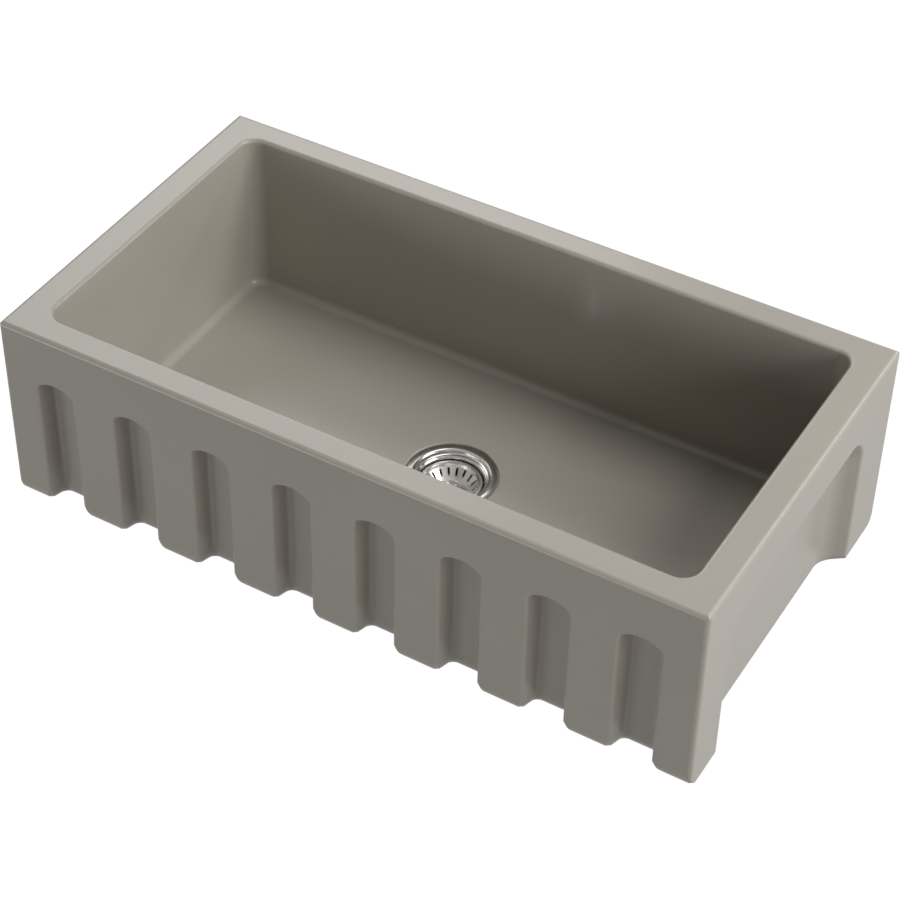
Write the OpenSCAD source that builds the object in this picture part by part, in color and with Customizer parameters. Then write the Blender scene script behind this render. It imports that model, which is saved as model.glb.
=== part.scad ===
// Farmhouse apron front sink in glazed fireclay, with a fluted apron and a basket strainer.
// Origin: centre of the flat foot that rests on the cabinet, at the foot's level.
// X runs along the apron, -Y is the front, +Z is up. Sizes are in millimetres.

/* [Sink body] */
// overall width along the apron
sink_w = 838; // [700:1:915]
// overall depth, front to back
sink_d = 457; // [420:1:560]
// overall height
sink_h = 251; // [215:1:290]
// thickness of the two end walls at the rim
end_wall = 37; // [34:0.5:50]
// thickness of the apron wall at the rim
apron_wall = 35.5; // [32:0.5:48]
// thickness of the rear wall at the rim
rear_wall = 33.5; // [25:0.5:45]
// height of the basin floor above the foot
floor_h = 40; // [34:0.5:60]
// fall of the basin floor towards the drain
floor_fall = 1.5; // [0.5:0.1:3]
// corner radius of the basin, seen from above
basin_r = 20; // [14:0.5:40]
// fillet between the basin walls and the floor
basin_fillet = 10; // [5:0.5:13]
// rounding of the inner rim edge
rim_in_r = 4.5; // [2:0.25:8]
// rounding of the outer rim edge
rim_out_r = 5.5; // [2:0.25:9]
// rounding of the four upright corners
corner_r = 5; // [2:0.25:9]
// rounding of the long bottom edges, front and rear
toe_r = 26; // [12:0.5:30]
// rounding of the short bottom edges, left and right
end_toe_r = 8; // [2:0.25:10]
// rounding of the bottom corners, between a front or rear face and a side
corner_toe_r = 25; // [20:0.5:28]
// half the width of that rounding
corner_toe_w = 14; // [13:0.5:24]

/* [Apron flutes] */
// number of flutes across the apron
flutes = 8; // [4:1:8]
// distance from one flute to the next
flute_pitch = 100.5; // [98:0.5:102]
// width of a flute at the apron's face
flute_w = 47.3; // [40:0.1:50]
// depth of a flute
flute_d = 21.6; // [15:0.1:22]
// how far a flute's side wall leans in, per millimetre of its slope
flute_lean = 0.28; // [0.2:0.01:0.29]
// distance from the rim down to a flute's crown
flute_drop = 62.5; // [45:0.5:90]
// rise of the arched crown above the straight sides
flute_rise = 14.13; // [12.5:0.01:16]
// radius at each side of the arched crown
flute_haunch_r = 10.21; // [10.1:0.01:11.5]
// fillet along the floor of a flute
flute_root_r = 5; // [3:0.25:5]
// rounding of a flute's edges on the apron's face
flute_lip_r = 4; // [1.5:0.25:6]
// rounding of the bottom edge inside a flute
flute_toe_r = 24; // [10:0.5:24]
// rounding at the foot of a rib's two corners
rib_corner_r = 30; // [24:0.5:34]
// half the width of that rounding
rib_corner_w = 8; // [7:0.5:10]

/* [End recesses] */
// width of the front post beside a recess
post_front = 60.5; // [50:0.5:90]
// width of the rear post beside a recess
post_rear = 73.5; // [50:0.5:110]
// distance from the rim down to the recess
recess_drop = 60; // [45:0.5:90]
// depth of the recess
recess_d = 23; // [12:0.5:24]
// how far a recess wall leans in, per millimetre of its slope
recess_lean = 0.6; // [0.5:0.01:0.65]
// corner radius of the recess on the end face
recess_r = 36; // [36:0.5:60]
// sweep between the recess floor and its walls
recess_root_r = 30; // [10:0.5:30]
// rounding of the recess edges on the end face
recess_lip_r = 5; // [2:0.25:8]
// rounding of the bottom edge inside the recess
recess_toe_r = 12; // [5:0.5:14]

/* [Underside] */
// thickness of the basin floor
base_t = 22; // [18:0.5:24]
// width of the foot, from the outer faces to the hollow underneath
foot_w = 60; // [56:0.5:80]
// corner radius of the hollow underneath
pocket_r = 24; // [15:0.5:50]
// fillet inside the hollow underneath
pocket_fillet = 8; // [3:0.5:10]
// rounding of the hollow's lower edge
pocket_lip_r = 3; // [1:0.25:5]

/* [Drain opening] */
// distance of the drain behind the middle of the sink
drain_y = 15.5; // [-20:0.5:60]
// radius of the drain hole
drain_r = 44.45; // [44:0.05:46]
// rounding of the drain hole's upper edge
drain_edge_r = 3; // [2:0.25:4]
// radius of the sunk seat for the strainer's flange
seat_r = 53.5; // [52.5:0.25:58]
// depth of the seat below the floor
seat_drop = 3; // [2:0.25:5]
// rounding of the seat's upper edge
seat_edge_r = 1.5; // [0.5:0.25:3]

/* [Strainer body] */
// radius of the flange
flange_r = 51.5; // [49:0.25:53]
// thickness of the flange
flange_t = 1.5; // [1.2:0.1:2]
// thickness of the sealing ring under the flange
putty_t = 1.2; // [0.6:0.1:2]
// width of the sealing ring
putty_w = 3.6; // [2:0.1:4]
// width of the plain ring between the seal and the stepped band
band_land = 1; // [0.5:0.1:2]
// fall of the stepped band inside the flange
band_fall = 8.8; // [7:0.1:10]
// number of ledges in the stepped band
ledges = 3; // [2:1:4]
// width of the riser below each ledge
riser_w = 0.5; // [0.3:0.1:1]
// radius of the bowl, inside
bowl_r = 37.4; // [37:0.1:38.5]
// radius of the bowl's threaded outside
thread_r = 39.9; // [39.5:0.1:40.5]
// depth of the bowl below the top of the flange
bowl_depth = 35.2; // [34:0.2:38]
// sweep between the bowl's wall and its floor
bowl_sweep = 9; // [5:0.5:9.5]
// thickness of the bowl's floor
bowl_floor_t = 3; // [2.5:0.1:4]
// radius of the outlet, inside
outlet_in_r = 20.6; // [19.5:0.1:21]
// radius of the outlet's thread, outside
outlet_r = 24.1; // [23.9:0.05:24.5]
// length of the outlet below the bowl
outlet_len = 34; // [30:0.5:40]
// height of the tapered seat for the stopper
stop_seat_h = 2.2; // [1:0.1:3]

/* [Clamping parts] */
// radius of the rubber gasket
gasket_r = 57; // [52:0.5:60]
// thickness of the rubber gasket
gasket_t = 3.5; // [2.5:0.1:4]
// radius of the friction ring
friction_r = 56; // [51:0.5:59]
// thickness of the friction ring
friction_t = 1.2; // [0.8:0.1:1.5]
// radius of the lock nut's body
lock_r = 50; // [47:0.5:53]
// radius over the lock nut's lugs
lock_lug_r = 56; // [52:0.5:59]
// height of the lock nut
lock_h = 11.5; // [9:0.5:13]
// height of the lock nut's lugs
lock_lug_h = 8; // [5:0.5:8.5]
// number of lugs round the lock nut
lock_lugs = 8; // [6:1:12]
// width of one lug
lock_lug_w = 12; // [8:0.5:14]
// clearance between a nut and its thread
thread_gap = 0.05; // [0.02:0.01:0.1]

/* [Tailpiece] */
// outside radius of the tailpiece
tail_r = 19.05; // [18.5:0.05:19.5]
// wall of the tailpiece
tail_wall = 1.2; // [0.8:0.1:2]
// length of the tailpiece
tail_len = 101.6; // [60:0.2:200]
// thickness of the tailpiece's flange
tail_flange_t = 1.4; // [1:0.1:2]
// thickness of the washer above the flange
washer_t = 2; // [1.5:0.1:3]
// radius of the coupling nut
coupling_r = 29.5; // [28:0.25:33]
// height of the coupling nut
coupling_h = 20; // [15:0.5:26]
// thickness of the coupling nut's lip
coupling_lip_t = 2; // [1.5:0.1:3]
// gap between the tailpiece and the coupling nut's lip
coupling_gap = 1; // [0.5:0.1:1.5]
// number of grips round the coupling nut
coupling_grips = 8; // [6:1:12]
// radius of the hollow between two grips
grip_r = 7; // [4:0.25:9]
// depth of that hollow
grip_d = 2; // [1:0.1:3]

/* [Basket] */
// radius of the basket's rim
basket_r = 35.7; // [34.5:0.1:36.5]
// depth of the basket's rim below the top of the flange
basket_drop = 9.7; // [9.2:0.1:11]
// thickness of the basket's sheet
basket_t = 0.9; // [0.7:0.1:1.2]
// depth of the basket
basket_depth = 16.3; // [14:0.1:18]
// outer radius of the slotted cone
cone_top_r = 31.6; // [30.5:0.1:32]
// depth of the slotted cone's upper edge below the rim
cone_drop = 5; // [4:0.1:6]
// inner radius of the slotted cone
cone_low_r = 23; // [21:0.1:24]
// number of slots
slots = 19; // [14:1:24]
// width of a slot
slot_w = 2.6; // [1.8:0.1:3.2]
// direction of the first slot, in degrees
slot_start = 87.2; // [0:0.2:100]
// running clearance between the basket and the fixed parts
run_gap = 0.3; // [0.2:0.05:0.5]

/* [Knob and stopper] */
// radius of the knob's cap
knob_r = 9.5; // [7:0.1:12]
// height of the knob above the basket floor
knob_h = 10.5; // [8:0.1:13]
// thickness of the knob's cap
knob_cap_t = 3.6; // [2.5:0.1:5]
// radius of the dish in the knob's cap
knob_dish_r = 5.9; // [4:0.1:7]
// depth of that dish
knob_dish_d = 0.6; // [0.2:0.1:1]
// radius of the knob's neck
knob_neck_r = 5.2; // [4.5:0.1:6]
// width and height of the step at the foot of the neck
knob_foot = 1.2; // [0.6:0.1:2]
// radius of the stem
stem_r = 2.5; // [2:0.1:3]
// radius of the rubber stopper's lip
stopper_r = 25.8; // [25:0.1:26.2]
// thickness of the stopper's lip
stopper_lip_t = 2.4; // [1.5:0.1:3]
// rise of the stopper's back from its lip to its middle
stopper_rise = 1.2; // [0.5:0.1:2]
// radius of the plug below the lip
plug_r = 18.5; // [16:0.1:20]
// depth of the plug below the lip
plug_h = 3; // [2:0.1:4]
// radius of the backing plate
plate_r = 14; // [10:0.1:16]
// thickness of the backing plate
plate_t = 1; // [0.8:0.1:1.5]
// width of the stem nut across its corners
stem_nut_w = 11.5; // [9:0.1:13]
// height of the stem nut
stem_nut_h = 3.2; // [2.5:0.1:4.5]
// radius of the spring collet at its bulge
collet_r = 4.6; // [4.2:0.1:5]
// length of the spring collet
collet_h = 12; // [9:0.5:15]
// radius by which the collet's bulge stands out
collet_bulge = 0.8; // [0.5:0.1:1]
// height of the solid band above the collet's slits
collet_band = 2.4; // [2:0.1:4]
// height of the ramp below the bulge and of the one above it
collet_ramp = 3.2; // [2:0.1:3.5]
// width of the collet's slits
collet_slit = 1; // [0.8:0.1:1.2]

/* [Stem guide] */
// radius of the guide's collar
guide_r = 7.4; // [6.5:0.1:8.5]
// height of the collar
guide_h = 6; // [4:0.1:8]
// width of the guide's arms
guide_arm_w = 3.2; // [2.5:0.1:4]
// thickness of the guide's arms
guide_arm_t = 2.4; // [2:0.1:3]
// number of arms
guide_arms = 4; // [3:1:5]

/* [Hidden] */
$fn = 96;
// overrun of every cut beyond the surface it opens
over = 1;

// basin opening and its centre
basin_w = sink_w - 2 * end_wall;
basin_d = sink_d - apron_wall - rear_wall;
basin_y = (apron_wall - rear_wall) / 2;
// floor level at the drain, and the levels stacked on the seat
drain_floor = floor_h - floor_fall;
seat_z = drain_floor - seat_drop;
flange_z = seat_z + putty_t;
flange_top = flange_z + flange_t;
// flat part of the floor round the drain
sump = seat_r + seat_edge_r;
// hollow under the floor
pocket_h = floor_h - base_t;
// levels under the floor
gasket_z = pocket_h - gasket_t;
friction_z = gasket_z - friction_t;
lock_z = friction_z - lock_h;
// stepped band of the strainer body
band_r = flange_r - putty_w - band_land;
ledge_w = (band_r - bowl_r) / (ledges + 1);
// levels of the strainer body
bowl_z = flange_top - bowl_depth;
outlet_top = bowl_z - bowl_floor_t;
outlet_z = bowl_z - outlet_len;
// levels of the tailpiece
washer_z = outlet_z - washer_t;
tail_flange_z = washer_z - tail_flange_t;
coupling_z = tail_flange_z - coupling_lip_t;
tail_z = tail_flange_z - tail_len;
// levels of the basket
basket_top = flange_top - basket_drop;
basket_floor = basket_top - basket_depth;
stopper_z = bowl_z + run_gap;
stopper_top = basket_floor - basket_t;
plate_z = stopper_z - plug_h - plate_t;
stem_nut_z = plate_z - stem_nut_h;
collet_z = stem_nut_z - collet_h;
guide_z = stem_nut_z - guide_h - (collet_h - guide_h) / 2;
// distance from a rim to the points where the sheet turns
rim_bend = 2.4;
// direction of a corner's rounding, as the cosine of its turn from the apron
corner_turn = 0.6;
// distance by which that rounding clears the upright edge above it
corner_gap = 0.2;

module corner_cut(r) {
    // the part of a square corner at the origin that a rounding takes away
    difference() {
        translate([-over, -over]) square(r + over);
        translate([r, r]) circle(r = r);
    }
}

module rounded_plan(w, d, r) {
    difference() {
        square([w, d], center = true);
        for (mx = [0, 1]) mirror([mx, 0])
            for (my = [0, 1]) mirror([0, my])
                translate([-w / 2, -d / 2]) corner_cut(r);
    }
}

module upright_section(w, h, top_r, low_r) {
    difference() {
        translate([-w / 2, 0]) square([w, h]);
        for (m = [0, 1]) mirror([m, 0]) {
            translate([-w / 2, 0]) corner_cut(low_r);
            translate([-w / 2, h]) mirror([0, 1]) corner_cut(top_r);
        }
    }
}

module mouth_cut(r) {
    // the part that a rounding takes from an edge at the origin, with the hollow at -x
    translate([0, -r]) difference() {
        square([r, r + over]);
        translate([r, 0]) circle(r = r);
    }
}

module corner_toe(r, toe, half_w) {
    // the part that a rounding takes from the foot of an upright edge, which has radius r and
    // its axis at the origin, with the block at +x and +y
    rotate([0, 0, acos(corner_turn)]) translate([-r - corner_gap, 0, 0]) rotate([90, 0, 0])
        linear_extrude(height = 2 * half_w, center = true) difference() {
            translate([-r, -over]) square([r + toe, toe + over]);
            translate([toe, toe]) circle(r = toe);
        }
}

module outer_block() {
    difference() {
        intersection() {
            linear_extrude(height = sink_h) rounded_plan(sink_w, sink_d, corner_r);
            translate([-sink_w / 2 - over, 0, 0]) rotate([90, 0, 90])
                linear_extrude(height = sink_w + 2 * over)
                    upright_section(sink_d, sink_h, rim_out_r, toe_r);
            translate([0, sink_d / 2 + over, 0]) rotate([90, 0, 0])
                linear_extrude(height = sink_d + 2 * over)
                    upright_section(sink_w, sink_h, rim_out_r, end_toe_r);
        }
        for (mx = [0, 1]) mirror([mx, 0, 0]) for (my = [0, 1]) mirror([0, my, 0])
            translate([corner_r - sink_w / 2, corner_r - sink_d / 2, 0])
                corner_toe(corner_r, corner_toe_r, corner_toe_w);
    }
}

module hollow_half(r, h, low_r, mouth_r) {
    difference() {
        union() {
            square([r, h + over]);
            translate([r, h]) mouth_cut(mouth_r);
        }
        translate([r, 0]) mirror([1, 0]) corner_cut(low_r);
    }
}

module hollow(w, d, h, r, low_r, mouth_r) {
    // a round-cornered hollow that opens upwards, with its floor at z = 0
    for (mx = [0, 1]) mirror([mx, 0, 0]) for (my = [0, 1]) mirror([0, my, 0])
        translate([w / 2 - r, d / 2 - r, 0])
            rotate_extrude(angle = 90) hollow_half(r, h, low_r, mouth_r);
    translate([0, d / 2 - r, 0]) rotate([90, 0, 0])
        linear_extrude(height = d - 2 * r)
            for (m = [0, 1]) mirror([m, 0]) hollow_half(w / 2, h, low_r, mouth_r);
    translate([-w / 2 + r, 0, 0]) rotate([90, 0, 90])
        linear_extrude(height = w - 2 * r)
            for (m = [0, 1]) mirror([m, 0]) hollow_half(d / 2, h, low_r, mouth_r);
}

module floor_slopes() {
    // four shallow planes that lead the water to the drain
    half_w = basin_w / 2 - basin_fillet;
    front = basin_y - basin_d / 2 + basin_fillet;
    rear = basin_y + basin_d / 2 - basin_fillet;
    intersection() {
        translate([0, sink_d / 2, 0]) rotate([90, 0, 0]) linear_extrude(height = sink_d)
            polygon([
                [-half_w, floor_h], [-sump, drain_floor], [sump, drain_floor],
                [half_w, floor_h], [half_w, floor_h + over], [-half_w, floor_h + over]
            ]);
        translate([-sink_w / 2, 0, 0]) rotate([90, 0, 90]) linear_extrude(height = sink_w)
            polygon([
                [front, floor_h], [drain_y - sump, drain_floor], [drain_y + sump, drain_floor],
                [rear, floor_h], [rear, floor_h + over], [front, floor_h + over]
            ]);
    }
}

module drain_opening() {
    translate([0, drain_y, 0]) rotate_extrude() union() {
        square([drain_r, floor_h]);
        translate([drain_r, seat_z]) mouth_cut(drain_edge_r);
        translate([0, seat_z]) square([seat_r, floor_h]);
        translate([seat_r, drain_floor]) mouth_cut(seat_edge_r);
    }
}

module scoop_half(half, d, lean, root_r, lip_r) {
    // half the section of a scoop: x across, y into the wall
    plumb = sqrt(1 - lean * lean);
    root_x = half - ((d - root_r) * lean + root_r) / plumb;
    lip_x = half + lip_r * (1 - lean) / plumb;
    wall_x = root_x + root_r * plumb;
    wall_y = d - root_r + root_r * lean;
    difference() {
        polygon([
            [0, -over], [lip_x, -over], [lip_x, 0],
            [lip_x - lip_r * plumb, lip_r - lip_r * lean],
            [half - d * lean / plumb, d], [0, d]
        ]);
        translate([lip_x, lip_r]) circle(r = lip_r);
        difference() {
            polygon([
                [root_x, d], [wall_x, wall_y],
                [wall_x + over * plumb, wall_y + over * lean],
                [half, d + over], [root_x, d + over]
            ]);
            translate([root_x, d - root_r]) circle(r = root_r);
        }
    }
}

module toe_section(reach, toe) {
    // section of the hollow below a rounded bottom edge, whose wall stands at x = 0
    difference() {
        translate([-reach, -over]) square([reach + toe, toe + over]);
        translate([toe, toe]) circle(r = toe);
    }
}

module scoop_toe(half, d, lean, root_r, toe) {
    // the flare at the foot of a scoop, where the rounded bottom edge follows its walls
    plumb = sqrt(1 - lean * lean);
    root_x = half - ((d - root_r) * lean + root_r) / plumb;
    reach = 2 * (half + toe);
    corner = 2 * (root_r + toe);
    difference() {
        intersection() {
            translate([-reach, d, 0]) rotate([90, 0, 90]) linear_extrude(height = 2 * reach)
                toe_section(reach, toe);
            intersection_for (m = [0, 1]) mirror([m, 0, 0])
                translate([half, 0, 0]) rotate([0, 0, asin(lean)]) rotate([90, 0, 0])
                    linear_extrude(height = 2 * reach, center = true) toe_section(reach, toe);
        }
        for (m = [0, 1]) mirror([m, 0, 0]) translate([root_x, d - root_r, 0]) difference() {
            translate([0, 0, -2 * over]) linear_extrude(height = toe + 3 * over) polygon([
                [0, 0], [corner * plumb, corner * lean], [corner, corner], [0, corner]
            ]);
            rotate_extrude() {
                translate([root_r, 0]) toe_section(root_r, toe);
                translate([0, -3 * over]) square([root_r, toe + 5 * over]);
            }
        }
    }
}

module arch_piece(x, z, r, sides) {
    // the part of a flute's arch that turns about one centre, between two straight sides
    intersection() {
        translate([0, flute_d + over, 0]) rotate([90, 0, 0])
            linear_extrude(height = flute_d + 3 * over) polygon(sides);
        translate([x, 0, z]) rotate([-90, 0, 0]) rotate_extrude()
            scoop_half(r, flute_d, flute_lean, flute_root_r, flute_lip_r);
    }
}

module flute() {
    half = flute_w / 2;
    spring = sink_h - flute_drop - flute_rise;
    haunch_x = half - flute_haunch_r;
    crown_r = (flute_rise * flute_rise + haunch_x * haunch_x - flute_haunch_r * flute_haunch_r)
        / (2 * (flute_rise - flute_haunch_r));
    crown_drop = crown_r - flute_rise;
    lip_x = half + flute_lip_r * (1 - flute_lean) / sqrt(1 - flute_lean * flute_lean);
    translate([0, 0, -over]) linear_extrude(height = spring + over)
        for (m = [0, 1]) mirror([m, 0])
            scoop_half(half, flute_d, flute_lean, flute_root_r, flute_lip_r);
    translate([0, 0, spring]) {
        arch_piece(0, -crown_drop, crown_r, [
            [-haunch_x, 0], [haunch_x, 0],
            [3 * haunch_x, 2 * crown_drop], [-3 * haunch_x, 2 * crown_drop]
        ]);
        for (m = [0, 1]) mirror([m, 0, 0]) arch_piece(haunch_x, 0, flute_haunch_r, [
            [haunch_x, 0], [flute_w, 0],
            [flute_w, 2 * crown_drop], [3 * haunch_x, 2 * crown_drop]
        ]);
    }
    scoop_toe(half, flute_d, flute_lean, flute_root_r, flute_toe_r);
    for (m = [0, 1]) mirror([m, 0, 0])
        translate([lip_x, flute_lip_r, 0])
            corner_toe(flute_lip_r, rib_corner_r, rib_corner_w);
}

module end_recess() {
    half = (sink_d - post_front - post_rear) / 2;
    spring = sink_h - recess_drop - recess_r;
    translate([0, 0, -over]) linear_extrude(height = spring + over)
        for (m = [0, 1]) mirror([m, 0])
            scoop_half(half, recess_d, recess_lean, recess_root_r, recess_lip_r);
    for (m = [0, 1]) mirror([m, 0, 0]) translate([half - recess_r, 0, spring])
        rotate([-90, 0, 0]) rotate([0, 0, -90]) rotate_extrude(angle = 90)
            scoop_half(recess_r, recess_d, recess_lean, recess_root_r, recess_lip_r);
    translate([half - recess_r, 0, spring]) rotate([0, -90, 0])
        linear_extrude(height = 2 * (half - recess_r))
            scoop_half(recess_r, recess_d, recess_lean, recess_root_r, recess_lip_r);
    scoop_toe(half, recess_d, recess_lean, recess_root_r, recess_toe_r);
}

module sink_body() {
    color([0.69, 0.67, 0.63]) difference() {
        outer_block();
        translate([0, basin_y, floor_h])
            hollow(basin_w, basin_d, sink_h - floor_h, basin_r, basin_fillet, rim_in_r);
        floor_slopes();
        drain_opening();
        translate([0, 0, pocket_h]) mirror([0, 0, 1])
            hollow(sink_w - 2 * foot_w, sink_d - 2 * foot_w, pocket_h,
                pocket_r, pocket_fillet, pocket_lip_r);
        for (i = [0 : flutes - 1])
            translate([(i - (flutes - 1) / 2) * flute_pitch, -sink_d / 2, 0]) flute();
        for (m = [0, 1]) mirror([m, 0, 0])
            translate([sink_w / 2, (post_front - post_rear) / 2, 0]) rotate([0, 0, 90])
                end_recess();
    }
}

module tube(outer_r, inner_r, h) {
    difference() {
        cylinder(r = outer_r, h = h);
        translate([0, 0, -over]) cylinder(r = inner_r, h = h + 2 * over);
    }
}

module at_drain(z) {
    translate([0, drain_y, z]) children();
}

module putty_ring() {
    // soft ring that seals the flange against its seat
    color([0.62, 0.6, 0.56]) at_drain(seat_z)
        tube(flange_r, flange_r - putty_w, putty_t);
}

module bowl_space() {
    // inside of the bowl, with its swept lower corner and the stopper's tapered seat
    square_top = bowl_z + bowl_sweep;
    translate([0, square_top]) square([bowl_r, flange_top - band_fall - square_top]);
    translate([0, bowl_z]) square([bowl_r - bowl_sweep, bowl_sweep]);
    intersection() {
        translate([bowl_r - bowl_sweep, square_top]) circle(r = bowl_sweep);
        translate([0, bowl_z]) square([bowl_r, bowl_sweep]);
    }
    polygon([
        [0, outlet_z - over], [outlet_in_r, outlet_z - over],
        [outlet_in_r, bowl_z - stop_seat_h], [outlet_in_r + stop_seat_h, bowl_z],
        [outlet_in_r + stop_seat_h, bowl_z + over], [0, bowl_z + over]
    ]);
}

module band_space() {
    // stepped, dished band between the flange and the bowl: ledges, each with a riser
    fall = band_fall / (4 * ledges + 2);
    polygon(concat(
        [[0, flange_top + over], [flange_r - flange_t, flange_top + over],
            [flange_r - flange_t, flange_top], [band_r, flange_top - 2 * fall]],
        [for (i = [1 : ledges]) each [
            [band_r - i * ledge_w + riser_w, flange_top - (4 * i - 1) * fall],
            [band_r - i * ledge_w, flange_top - (4 * i + 1) * fall]
        ]],
        [[bowl_r, flange_top - band_fall], [0, flange_top - band_fall]]
    ));
}

module strainer_body() {
    // pressed stainless flange, stepped band, bowl and threaded outlet in one piece
    color([0.8, 0.8, 0.8]) at_drain(0) rotate_extrude() difference() {
        polygon([
            [0, flange_top], [flange_r, flange_top], [flange_r, flange_z],
            [band_r + band_land, flange_z], [band_r - band_land, flange_z - band_land],
            [thread_r, flange_z - band_fall + flange_t], [thread_r, outlet_top],
            [outlet_r, outlet_top - bowl_floor_t], [outlet_r, outlet_z], [0, outlet_z]
        ]);
        translate([flange_r, flange_z]) mirror([1, 0]) corner_cut(flange_t / 2);
        translate([flange_r, flange_top]) mirror([1, 0]) mirror([0, 1]) corner_cut(flange_t / 2);
        band_space();
        bowl_space();
    }
}

module stem_guide() {
    // spoked collar across the outlet that guides the basket's stem
    color([0.72, 0.72, 0.72]) at_drain(guide_z) difference() {
        union() {
            cylinder(r = guide_r, h = guide_h);
            intersection() {
                translate([0, 0, (guide_h - guide_arm_t) / 2])
                    cylinder(r = outlet_in_r, h = guide_arm_t);
                for (i = [0 : guide_arms - 1]) rotate([0, 0, i * 360 / guide_arms])
                    translate([0, -guide_arm_w / 2, 0])
                        cube([outlet_in_r + over, guide_arm_w, guide_h]);
            }
        }
        translate([0, 0, -over]) cylinder(r = collet_r + run_gap, h = guide_h + 2 * over);
    }
}

module body_gasket() {
    color([0.1, 0.1, 0.1]) at_drain(gasket_z) tube(gasket_r, thread_r + run_gap, gasket_t);
}

module friction_ring() {
    color([0.6, 0.48, 0.33]) at_drain(friction_z)
        tube(friction_r, thread_r + run_gap, friction_t);
}

module lock_nut() {
    // wide nut with lugs, which clamps the sink's floor from below
    color([0.7, 0.7, 0.71]) at_drain(lock_z) difference() {
        union() {
            cylinder(r = lock_r, h = lock_h);
            intersection() {
                cylinder(r = lock_lug_r, h = lock_lug_h);
                for (i = [0 : lock_lugs - 1]) rotate([0, 0, i * 360 / lock_lugs])
                    translate([0, -lock_lug_w / 2, 0])
                        cube([lock_lug_r + over, lock_lug_w, lock_lug_h]);
            }
            translate([0, 0, lock_h - friction_t]) cylinder(r = lock_lug_r, h = friction_t);
        }
        translate([0, 0, -over]) cylinder(r = thread_r + thread_gap, h = lock_h + 2 * over);
    }
}

module tail_washer() {
    color([0.88, 0.88, 0.86]) at_drain(washer_z)
        tube(outlet_r, tail_r - tail_wall, washer_t);
}

module tailpiece() {
    // flanged waste tube
    color([0.78, 0.78, 0.79]) at_drain(tail_z) {
        difference() {
            union() {
                cylinder(r = tail_r, h = tail_len);
                translate([0, 0, tail_len]) cylinder(r = outlet_r, h = tail_flange_t);
            }
            translate([0, 0, -over])
                cylinder(r = tail_r - tail_wall, h = tail_len + tail_flange_t + 2 * over);
        }
    }
}

module coupling_nut() {
    // grooved nut that pulls the tailpiece's flange up against the outlet
    bore_h = coupling_h - coupling_lip_t;
    color([0.75, 0.75, 0.76]) at_drain(coupling_z) difference() {
        cylinder(r = coupling_r, h = coupling_h);
        for (i = [0 : coupling_grips - 1]) rotate([0, 0, (i + 0.5) * 360 / coupling_grips])
            translate([coupling_r + grip_r - grip_d, 0, coupling_lip_t])
                cylinder(r = grip_r, h = coupling_h);
        translate([0, 0, coupling_lip_t])
            cylinder(r = outlet_r + thread_gap, h = bore_h + over);
        translate([0, 0, -over])
            cylinder(r = tail_r + coupling_gap, h = coupling_h);
    }
}

module cup_skin(grow) {
    // outline of the basket's sheet: the same line, shifted down by the sheet's thickness
    polygon([
        [0, basket_floor - grow], [cone_low_r - rim_bend + grow / 2, basket_floor - grow],
        [cone_low_r + grow / 2, basket_floor + rim_bend - grow],
        [cone_top_r + grow / 2, basket_top - cone_drop - grow],
        [basket_r - rim_bend - basket_t + grow, basket_top - rim_bend / 2],
        [basket_r - rim_bend - basket_t + grow, basket_top + over], [0, basket_top + over]
    ]);
}

module basket_cup() {
    // pressed crumb cup with a rolled rim and radial slots
    slot_in = cone_low_r + slot_w / 4;
    slot_out = cone_top_r - slot_w / 4;
    color([0.82, 0.82, 0.82]) at_drain(0) difference() {
        rotate_extrude() {
            difference() {
                cup_skin(basket_t);
                cup_skin(0);
                translate([0, basket_top]) square([basket_r, 2 * over]);
            }
            translate([basket_r - rim_bend - basket_t / 2, basket_top - basket_t])
                square([rim_bend, basket_t]);
            translate([basket_r - basket_t, basket_top - basket_t])
                circle(r = basket_t);
        }
        for (i = [0 : slots - 1]) rotate([0, 0, slot_start + i * 360 / slots])
            translate([0, 0, basket_floor - basket_t]) {
                translate([slot_in + slot_w / 2, -slot_w / 2, 0])
                    cube([slot_out - slot_in - slot_w, slot_w, basket_depth]);
                translate([slot_in + slot_w / 2, 0, 0])
                    cylinder(r = slot_w / 2, h = basket_depth);
                translate([slot_out - slot_w / 2, 0, 0])
                    cylinder(r = slot_w / 2, h = basket_depth);
            }
        translate([0, 0, basket_floor - basket_t - over])
            cylinder(r = stem_r, h = basket_t + 2 * over);
    }
}

module knob() {
    // turned knob with a dished cap
    color([0.84, 0.84, 0.84]) at_drain(basket_floor) rotate_extrude() difference() {
        union() {
            square([knob_neck_r, knob_h - knob_cap_t / 2]);
            square([knob_neck_r + knob_foot, knob_foot]);
            translate([0, knob_h - knob_cap_t])
                square([knob_r - knob_cap_t / 2, knob_cap_t]);
            translate([knob_r - knob_cap_t / 2, knob_h - knob_cap_t / 2])
                circle(r = knob_cap_t / 2);
        }
        translate([0, knob_h - knob_dish_d]) square([knob_dish_r, knob_dish_d + over]);
        translate([0, -over]) square([stem_r, knob_h - knob_cap_t + over]);
        translate([-2 * knob_r, -over]) square([2 * knob_r, knob_h + 2 * over]);
    }
}

module stem() {
    // threaded rod from the knob down to the collet, with a head at its lower end
    head_t = stem_r;
    color([0.7, 0.7, 0.7]) at_drain(collet_z) {
        translate([0, 0, -head_t])
            cylinder(r = stem_r, h = basket_floor + knob_h - knob_cap_t - collet_z + head_t);
        translate([0, 0, -head_t]) cylinder(r = collet_r - run_gap, h = head_t);
    }
}

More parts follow.
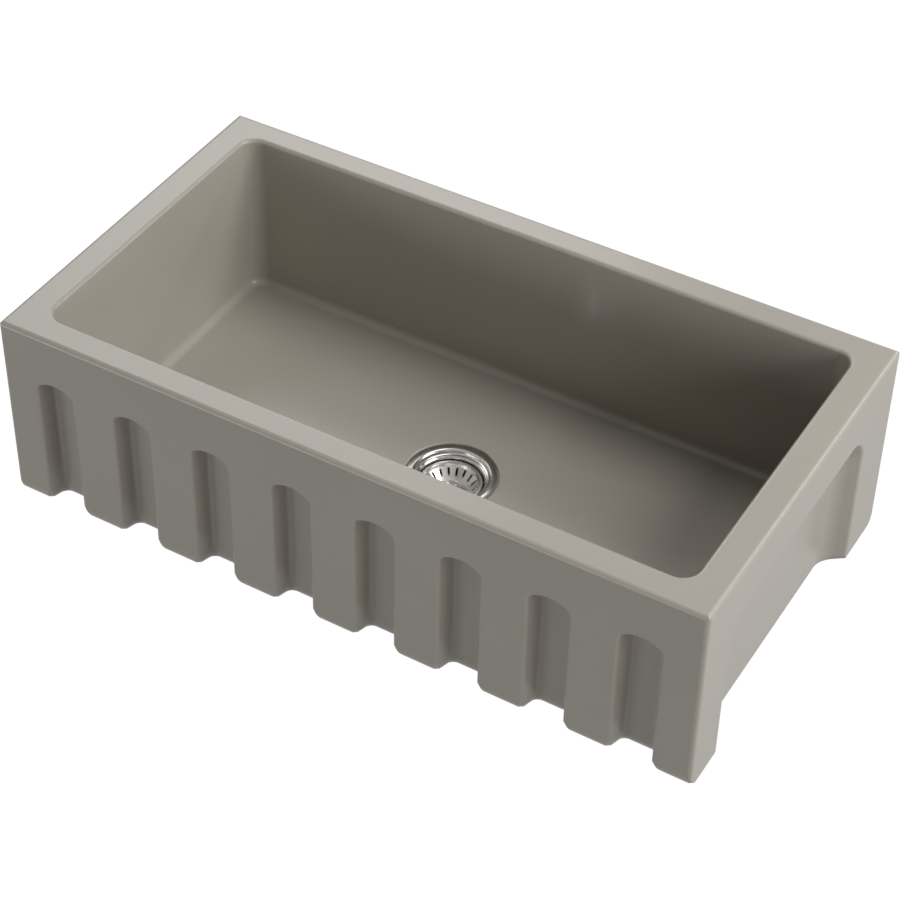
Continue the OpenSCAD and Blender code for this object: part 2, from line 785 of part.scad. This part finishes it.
module stopper() {
    // rubber seal: a lip that lands on the bowl's floor and a plug that centres it
    color([0.09, 0.09, 0.09]) at_drain(0) rotate_extrude() polygon([
        [stem_r, stopper_z - plug_h], [plug_r - plug_h / 2, stopper_z - plug_h],
        [plug_r, stopper_z], [stopper_r, stopper_z],
        [stopper_r - stopper_lip_t / 4, stopper_z + stopper_lip_t],
        [plate_r, stopper_z + stopper_lip_t + stopper_rise], [plate_r, stopper_top],
        [stem_r, stopper_top]
    ]);
}

module stopper_plate() {
    color([0.76, 0.76, 0.76]) at_drain(plate_z) tube(plate_r, stem_r, plate_t);
}

module stem_nut() {
    color([0.72, 0.68, 0.5]) at_drain(stem_nut_z) difference() {
        cylinder(d = stem_nut_w, h = stem_nut_h, $fn = 6);
        translate([0, 0, -over]) cylinder(r = stem_r, h = stem_nut_h + 2 * over);
    }
}

module stem_collet() {
    // slit spring sleeve whose bulge clicks through the guide's collar
    slit_h = collet_h - collet_band;
    neck_r = collet_r - collet_bulge;
    color([0.8, 0.8, 0.8]) at_drain(collet_z) difference() {
        rotate_extrude() polygon([
            [stem_r, 0], [neck_r, 0], [collet_r, collet_ramp], [collet_r, slit_h - collet_ramp],
            [neck_r, slit_h], [neck_r, collet_h], [stem_r, collet_h]
        ]);
        for (turn = [0, 90]) rotate([0, 0, turn])
            translate([-collet_r - over, -collet_slit / 2, -over])
                cube([2 * (collet_r + over), collet_slit, slit_h + over]);
    }
}

sink_body();
putty_ring();
strainer_body();
stem_guide();
body_gasket();
friction_ring();
lock_nut();
tail_washer();
tailpiece();
coupling_nut();
basket_cup();
knob();
stem();
stopper();
stopper_plate();
stem_nut();
stem_collet();
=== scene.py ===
"""Farmhouse apron front sink in glazed fireclay, with a fluted apron and a basket strainer."""
from math import cos, pi, radians, sin

import bmesh
import bpy
from mathutils import Matrix, Vector


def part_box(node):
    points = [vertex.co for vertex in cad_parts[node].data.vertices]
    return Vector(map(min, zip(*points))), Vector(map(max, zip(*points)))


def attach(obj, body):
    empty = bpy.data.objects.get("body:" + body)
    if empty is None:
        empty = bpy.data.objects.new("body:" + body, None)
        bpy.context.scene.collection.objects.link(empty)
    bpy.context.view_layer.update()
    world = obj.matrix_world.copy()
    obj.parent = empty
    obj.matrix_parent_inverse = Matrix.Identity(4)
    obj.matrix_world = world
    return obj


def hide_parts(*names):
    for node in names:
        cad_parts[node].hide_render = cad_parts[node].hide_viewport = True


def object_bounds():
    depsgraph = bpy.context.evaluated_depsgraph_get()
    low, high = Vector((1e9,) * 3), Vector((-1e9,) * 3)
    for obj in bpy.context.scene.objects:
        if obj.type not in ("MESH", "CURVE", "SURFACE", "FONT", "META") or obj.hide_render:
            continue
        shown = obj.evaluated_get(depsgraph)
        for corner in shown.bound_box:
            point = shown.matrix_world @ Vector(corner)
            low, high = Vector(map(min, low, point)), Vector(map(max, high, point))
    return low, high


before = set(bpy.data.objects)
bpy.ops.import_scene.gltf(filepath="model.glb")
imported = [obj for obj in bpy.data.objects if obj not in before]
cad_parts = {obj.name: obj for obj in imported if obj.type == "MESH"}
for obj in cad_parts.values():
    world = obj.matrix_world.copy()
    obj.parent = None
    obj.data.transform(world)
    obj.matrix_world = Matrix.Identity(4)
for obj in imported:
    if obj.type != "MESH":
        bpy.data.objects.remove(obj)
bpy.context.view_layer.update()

scene = bpy.context.scene

# The photographer's view
# The camera stands in front of the sink, to its right, and looks down into the basin. Its place
# comes from the straight edges of the sink in the picture, fitted in perspective.
SIDE = 900                                  # the picture is square, in pixels
FOCAL = 2463.8                              # focal length, in pixels of that picture
MIDDLE = (395.28, 390.13)                   # where the lens axis meets the picture
AZIMUTH, ELEVATION = radians(31.443), radians(40.82)
SENSOR = 36.0                               # width of the camera's film, in millimetres
aim = Vector((0, 0, 0.125))                 # a point on the sink's upright middle line
aim_in_view = Vector((0.054061, -0.038165, -2.683749))  # the same point as the camera sees it

back = Vector((sin(AZIMUTH) * cos(ELEVATION), -cos(AZIMUTH) * cos(ELEVATION), sin(ELEVATION)))
right = Vector((0, 0, 1)).cross(back).normalized()
up = back.cross(right)
turn = Matrix((right, up, back)).transposed()

camera = bpy.data.objects.new("camera", bpy.data.cameras.new("camera"))
camera.data.lens = SENSOR * FOCAL / SIDE
camera.data.sensor_width = SENSOR
camera.data.shift_x = 0.5 - MIDDLE[0] / SIDE
camera.data.shift_y = MIDDLE[1] / SIDE - 0.5
camera.matrix_world = Matrix.Translation(aim - turn @ aim_in_view) @ turn.to_4x4()
scene.collection.objects.link(camera)
scene.camera = camera


# Sink body
# Slip-cast fireclay, one thick-walled casting from rim to foot, with its fluted apron in one with
# the basin. It is sprayed inside and out with a satin glaze in warm grey and fired, and it rests
# on its foot in the cabinet.
class Wire:
    """One output of a shader node, so that maths on it reads as an expression."""

    def __init__(self, finish, socket):
        self.finish, self.socket = finish, socket

    def math(self, operation, *values):
        sockets = {i: value for i, value in enumerate(values)}
        return self.finish.node("ShaderNodeMath", {"operation": operation}, sockets)

    def __add__(self, other):
        return self.math("ADD", self, other)

    def __mul__(self, other):
        return self.math("MULTIPLY", self, other)

    def __truediv__(self, other):
        return self.math("DIVIDE", self, other)

    def __rtruediv__(self, other):
        return self.math("DIVIDE", other, self)

    __radd__, __rmul__ = __add__, __mul__


class Nodes:
    """The nodes of one material or world."""

    def __init__(self, tree):
        self.tree = tree

    def node(self, kind, settings=None, sockets=None, out=0):
        """Adds a node with its settings, then the values or links of its sockets."""
        node = self.tree.nodes.new(kind)
        for key, value in (settings or {}).items():
            if key == "stops":
                ramp = node.color_ramp.elements
                while len(ramp) < len(value):
                    ramp.new(0.5)
                for stop, (position, colour) in zip(ramp, value):
                    stop.position, stop.color = position, (*colour, 1)
            else:
                setattr(node, key, value)
        for key, value in (sockets or {}).items():
            if isinstance(value, Wire):
                self.tree.links.new(value.socket, node.inputs[key])
            else:
                node.inputs[key].default_value = value
        return Wire(self, node.outputs[out])


class Finish(Nodes):
    """A procedural finish: a shader with its constants on its own sockets, and what varies wired in."""

    def __init__(self, name, **constants):
        self.material = bpy.data.materials.new(name)
        self.material.use_nodes = True
        super().__init__(self.material.node_tree)
        self.shader = self.tree.nodes["Principled BSDF"]
        for socket, value in constants.items():
            self.shader.inputs[socket.replace("_", " ")].default_value = value

    def place(self):
        """Where a point lies on the piece, in metres."""
        return self.node("ShaderNodeTexCoord", out="Object")

    def noise(self, scale, detail=2.0):
        return self.node("ShaderNodeTexNoise", {},
                         {"Vector": self.place(), "Scale": scale, "Detail": detail})

    def shades(self, mask, *stops):
        """A colour for each position of the mask."""
        return self.node("ShaderNodeValToRGB", {"stops": stops}, {"Fac": mask})

    def relief(self, height, depth, strength=1.0):
        """A normal that stands for a relief of that depth, in metres."""
        return self.node("ShaderNodeBump", {}, {"Strength": strength, "Distance": depth, "Height": height})

    def feed(self, **wires):
        """Wires what changes over the surface into the shader."""
        for socket, wire in wires.items():
            self.tree.links.new(wire.socket, self.shader.inputs[socket.replace("_", " ")])

    def dress(self, *names):
        """Puts the finish on CAD nodes."""
        for name in names:
            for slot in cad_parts[name].material_slots:
                slot.material = self.material


glaze = Finish("satin_glaze", Specular_IOR_Level=0.42, Coat_Weight=0.20, Coat_Roughness=0.10)
cloud = glaze.noise(5.0, 3.0)
ripple = glaze.noise(110.0, 1.0)
speck = glaze.noise(900.0)
glaze.feed(
    Base_Color=glaze.shades(cloud * 0.85 + speck * 0.15,
                            (0.25, (0.362, 0.333, 0.291)),
                            (0.55, (0.376, 0.347, 0.303)),
                            (0.80, (0.388, 0.359, 0.314))),
    Roughness=0.25 + cloud * 0.06 + speck * 0.04,
    Normal=glaze.relief(ripple, 0.0004, 0.06),
)
glaze.dress("sink_body")


# Putty ring
# A thin bead of pale sealing putty, squeezed out between the flange and its seat in the floor.
putty = Finish("putty", Base_Color=(0.42, 0.40, 0.36, 1))
grain = putty.noise(1500.0)
putty.feed(Roughness=0.55 + grain * 0.3, Normal=putty.relief(grain, 0.0002, 0.5))
putty.dress("putty_ring")


# Strainer body
# Stainless steel sheet, pressed into a flange, a stepped band and a bowl, with a turned outlet.
# Wheels polish it bright and leave fine rings round its middle. The flange lies on the putty, and
# the threads on the bowl and the outlet take the nuts from below.
strainer_low, strainer_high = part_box("strainer_body")
drain_middle = (strainer_low + strainer_high) / 2


class Steel(Finish):
    """Bright steel with polishing rings round the middle of the drain."""

    def __init__(self, name, tint, roughness):
        super().__init__(name, Metallic=1.0)
        self.centred = self.node("ShaderNodeMapping", {}, {
            "Vector": self.place(), "Location": (-drain_middle.x, -drain_middle.y, 0)})
        rings = self.node("ShaderNodeTexWave", {"wave_type": "RINGS", "rings_direction": "Z"},
                          {"Vector": self.centred, "Scale": 700.0, "Distortion": 3.0, "Detail": 2.0},
                          "Fac")
        smear = self.noise(60.0, 3.0)
        dull = tuple(channel * 0.93 for channel in tint)
        self.feed(Base_Color=self.shades(smear, (0.3, dull), (0.7, tint)),
                  Roughness=roughness + smear * 0.06 + rings * 0.04)

    def thread(self, pitch, *stretches):
        """Screw threads on stretches, each given by its lowest and highest point and least radius."""
        x, y, z = (self.node("ShaderNodeSeparateXYZ", {}, {0: self.centred}, axis) for axis in "XYZ")
        radius = z.math("SQRT", x * x + y * y)
        ridges = z.math("PINGPONG", z / pitch + y.math("ARCTAN2", y, x) / (2 * pi), 0.5)
        here = 0
        for low, high, least in stretches:
            here = here + (z.math("GREATER_THAN", z, low) * z.math("LESS_THAN", z, high)
                           * z.math("GREATER_THAN", radius, least))
        self.feed(Normal=self.relief(ridges * here, pitch))


def spun(name, outline, edge, steps=144, ease_from=radians(15), sharp_from=radians(40)):
    """A closed outline of radius and height, spun round the middle of the drain, its edges eased."""
    weld, level = 1e-6, 1e-7                # how near two points or two heights are taken as one
    turned = bmesh.new()
    points = [turned.verts.new((radius, 0, height)) for radius, height in outline]
    lines = [turned.edges.new(pair) for pair in zip(points, points[1:] + points[:1])]
    bmesh.ops.spin(turned, geom=points + lines, cent=(0, 0, 0), axis=(0, 0, 1), dvec=(0, 0, 0),
                   angle=2 * pi, steps=steps, use_merge=True, use_duplicate=False)
    bmesh.ops.remove_doubles(turned, verts=turned.verts, dist=weld)
    bmesh.ops.recalc_face_normals(turned, faces=turned.faces)
    corners = [line for line in turned.edges if line.calc_face_angle(0) > ease_from
               and abs(line.verts[0].co.z - line.verts[1].co.z) < level]
    bmesh.ops.bevel(turned, geom=corners, offset=edge, segments=2, profile=0.5, affect="EDGES",
                    material=-1, clamp_overlap=True)
    bmesh.ops.translate(turned, verts=turned.verts, vec=(drain_middle.x, drain_middle.y, 0))
    for face in turned.faces:
        face.smooth = True
    shape = bpy.data.meshes.new(name)
    turned.to_mesh(shape)
    turned.free()
    shape.set_sharp_from_angle(angle=sharp_from)
    piece = bpy.data.objects.new(name, shape)
    scene.collection.objects.link(piece)
    return piece


flange_r = strainer_high.x - drain_middle.x
flange_top = strainer_high.z
flange_t = 0.0015
flange_dish = 0.00015                       # the flat flange falls a hair towards the drain
band_r, band_fall, ledges = 0.0448, 0.0088, 3
tread_share, tread_fall_share = 0.82, 0.45  # of a ledge's width and fall, the rest is its riser
bowl_r, thread_r, outlet_r, outlet_in_r = 0.0374, 0.0399, 0.0241, 0.0206
bowl_floor, bowl_sweep, bowl_floor_t = 0.0030, 0.009, 0.003
stopper_seat, sweep_steps = 0.0022, 8

ledge_w = (band_r - bowl_r) / ledges
ledge_fall = (band_fall - flange_dish) / ledges
stepped_band = []
for ledge in range(ledges):
    radius, height = band_r - ledge * ledge_w, flange_top - flange_dish - ledge * ledge_fall
    stepped_band += [(radius, height),
                     (radius - ledge_w * tread_share, height - ledge_fall * tread_fall_share)]
sweep_angles = [step * pi / 2 / sweep_steps for step in range(sweep_steps + 1)]
sweep = [(bowl_r - bowl_sweep * (1 - cos(angle)), bowl_floor + bowl_sweep * (1 - sin(angle)))
         for angle in sweep_angles]
strainer = spun("strainer", [
    (flange_r, flange_top - flange_t), (flange_r, flange_top), *stepped_band,
    (bowl_r, flange_top - band_fall), *sweep,
    (outlet_in_r + stopper_seat, bowl_floor), (outlet_in_r, bowl_floor - stopper_seat),
    (outlet_in_r, strainer_low.z), (outlet_r, strainer_low.z), (outlet_r, bowl_floor - 2 * bowl_floor_t),
    (thread_r, bowl_floor - bowl_floor_t), (thread_r, flange_top - band_fall),
    (band_r, flange_top - 2 * flange_t),
], edge=0.00025)

thread_pitch = 0.0022
above_nut, below_nut = 0.012, 0.002         # how far the threads run on past their nuts
outlet_root, bowl_root = outlet_r - 0.0006, thread_r - 0.0007
steel = Steel("polished_steel", (0.64, 0.63, 0.61), 0.09)
steel.thread(thread_pitch,
             (strainer_low.z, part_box("coupling_nut")[1].z + above_nut, outlet_root),
             (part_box("lock_nut")[0].z - below_nut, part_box("putty_ring")[0].z, bowl_root))
strainer.data.materials.append(steel.material)
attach(strainer, "sink")
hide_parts("strainer_body")


# Stem guide
# A small zinc casting, a collar on four arms across the outlet. The basket's stem slides in it.
zinc = Finish("cast_zinc", Metallic=1.0)
grain = zinc.noise(900.0, 4.0)
zinc.feed(Base_Color=zinc.shades(grain, (0.3, (0.50, 0.50, 0.51)), (0.7, (0.58, 0.58, 0.59))),
          Roughness=0.32 + grain * 0.14, Normal=zinc.relief(grain, 0.0001, 0.4))
zinc.dress("stem_guide")


# Body gasket and friction ring
# A ring of black moulded rubber under the floor seals the opening, and a dry ring of pressed
# brown fibre below it lets the nut turn without dragging the rubber round.
rubber = Finish("gasket_rubber")
grain = rubber.noise(1200.0, 4.0)
rubber.feed(Base_Color=rubber.shades(grain, (0.3, (0.020, 0.020, 0.021)), (0.7, (0.028, 0.028, 0.029))),
            Roughness=0.48 + grain * 0.16, Normal=rubber.relief(grain, 0.0001, 0.4))
rubber.dress("body_gasket")

fibre = Finish("pressed_fibre")
strands = fibre.noise(700.0, 5.0)
fibre.feed(Base_Color=fibre.shades(strands, (0.3, (0.23, 0.15, 0.08)), (0.7, (0.38, 0.26, 0.15))),
           Roughness=0.7 + strands * 0.2, Normal=fibre.relief(strands, 0.0002, 0.6))
fibre.dress("friction_ring")


# Lock nut and coupling nut
# Both are die-cast zinc, the first with eight lugs to knock it tight against the fibre ring, the
# second with hollows for the fingers. It draws the tailpiece up against the outlet.
zinc.dress("lock_nut", "coupling_nut")


# Tail washer and tailpiece
# A flat washer of natural nylon, and below it a flanged tube of thin brass, plated with chrome.
nylon = Finish("natural_nylon", Subsurface_Weight=0.15, Subsurface_Radius=(0.002, 0.002, 0.002))
haze = nylon.noise(300.0)
nylon.feed(Base_Color=nylon.shades(haze, (0.3, (0.74, 0.73, 0.68)), (0.7, (0.80, 0.79, 0.75))),
           Roughness=0.4 + haze * 0.1)
nylon.dress("tail_washer")

chrome = Finish("chrome_plate", Metallic=1.0)
haze = chrome.noise(60.0, 4.0)
chrome.feed(Base_Color=chrome.shades(haze, (0.3, (0.68, 0.69, 0.71)), (0.7, (0.72, 0.73, 0.75))),
            Roughness=0.04 + haze * 0.06)
chrome.dress("tailpiece")


# Basket and knob
# The crumb cup is pressed from thin stainless sheet, with slots cut through its cone, and the knob
# is turned from bar. Both are polished like the strainer, and lift out together by the knob.
bright = Steel("polished_basket", (0.80, 0.79, 0.77), 0.14)
bright.dress("basket_cup", "knob")


# Stem, collet and nut
# A threaded rod of plain steel runs from the knob through the cup and the stopper. Below it a slit
# collet of the same steel grips the guide, and a small brass nut holds the stopper.
rod = Steel("plain_steel", (0.56, 0.55, 0.53), 0.22)
rod_pitch = 0.0008
rod.thread(rod_pitch, (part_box("stem")[0].z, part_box("stem_collet")[0].z, 0.0))
rod.dress("stem", "stopper_plate", "stem_collet")

brass = Finish("turned_brass", Metallic=1.0)
haze = brass.noise(400.0, 3.0)
brass.feed(Base_Color=brass.shades(haze, (0.3, (0.56, 0.41, 0.17)), (0.7, (0.66, 0.49, 0.22))),
           Roughness=0.2 + haze * 0.12)
brass.dress("stem_nut")


# Stopper
# A cup of soft black rubber under the basket, which seals against the bowl when the basket is down.
soft = Finish("stopper_rubber")
grain = soft.noise(900.0, 3.0)
soft.feed(Base_Color=soft.shades(grain, (0.3, (0.017, 0.017, 0.017)), (0.7, (0.024, 0.024, 0.024))),
          Roughness=0.42 + grain * 0.16, Normal=soft.relief(grain, 0.0001, 0.3))
soft.dress("stopper")


# Studio
# A floor just below the tailpiece, almost white to the camera and grey in the glaze and the
# polished metal, and soft lamps, the strongest from the right and a little behind, as the
# picture's shading shows.
MIRROR_LEVEL = 0.5                          # how much of the white a mirror shows


def seen_white(finish):
    """One where the camera looks straight at it, less in a mirror, nought for the light it sheds."""
    mirrored = 0
    for name in ("Is Glossy Ray", "Is Transmission Ray"):
        mirrored = mirrored + finish.node("ShaderNodeLightPath", out=name)
    return mirrored.math("MAXIMUM", mirrored * MIRROR_LEVEL,
                         finish.node("ShaderNodeLightPath", out="Is Camera Ray"))


WHITE_SHARE = 0.85                          # of the floor's look, the rest shows the shadow
WHITE_LEVEL = 1.18                          # strength of that white
FLOOR_SIDE, FLOOR_GAP, FLOOR_GREY = 60, 0.001, 0.14
bpy.ops.mesh.primitive_plane_add(size=FLOOR_SIDE, location=(0, 0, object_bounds()[0].z - FLOOR_GAP))
floor = bpy.context.object
floor.name = "floor"
pale = Finish("floor", Base_Color=(FLOOR_GREY, FLOOR_GREY, FLOOR_GREY, 1), Roughness=0.9)
glow = pale.node("ShaderNodeEmission", {}, {"Color": (1, 1, 1, 1), "Strength": WHITE_LEVEL})
mixed = pale.node("ShaderNodeMixShader", {}, {
    0: seen_white(pale) * WHITE_SHARE, 1: Wire(pale, pale.shader.outputs[0]), 2: glow})
pale.tree.links.new(mixed.socket, pale.tree.nodes["Material Output"].inputs["Surface"])
floor.data.materials.append(pale.material)

AMBIENT = 0.02                              # strength of the light from all round
world = bpy.data.worlds.new("studio")
world.use_nodes = True
scene.world = world
air = Nodes(world.node_tree)
sky = air.tree.nodes["Background"]
sky.inputs["Color"].default_value = (1, 1, 1, 1)
air.tree.links.new((seen_white(air) * (1 - AMBIENT) + AMBIENT).socket, sky.inputs["Strength"])

REACH = 3.0                                 # from the sink to each lamp, in metres
LAMPS = {                                   # azimuth, elevation, size in metres, power in watts
    "key": (18, 42, (1.2, 1.2), 45),
    "side": (350, 26, (1.0, 0.8), 27),
    "glint": (46, 25, (0.6, 0.3), 7),
    "top": (60, 74, (1.4, 1.4), 22),
    "rear": (131, 36, (1.8, 1.4), 23),
    "front_right": (326, 7, (1.5, 0.7), 14),
    "front_left": (240, 4, (2.8, 0.9), 30),
}
for name, (azimuth, elevation, size, power) in LAMPS.items():
    towards = Vector((cos(radians(azimuth)) * cos(radians(elevation)),
                      sin(radians(azimuth)) * cos(radians(elevation)), sin(radians(elevation))))
    lamp = bpy.data.lights.new(name, "AREA")
    lamp.shape, lamp.size, lamp.size_y = "RECTANGLE", size[0], size[1]
    lamp.energy = power
    holder = bpy.data.objects.new(name, lamp)
    holder.location = aim + towards * REACH
    holder.rotation_euler = (-towards).to_track_quat("-Z", "Y").to_euler()
    holder.visible_camera = False
    scene.collection.objects.link(holder)

scene.view_settings.view_transform = "Standard"
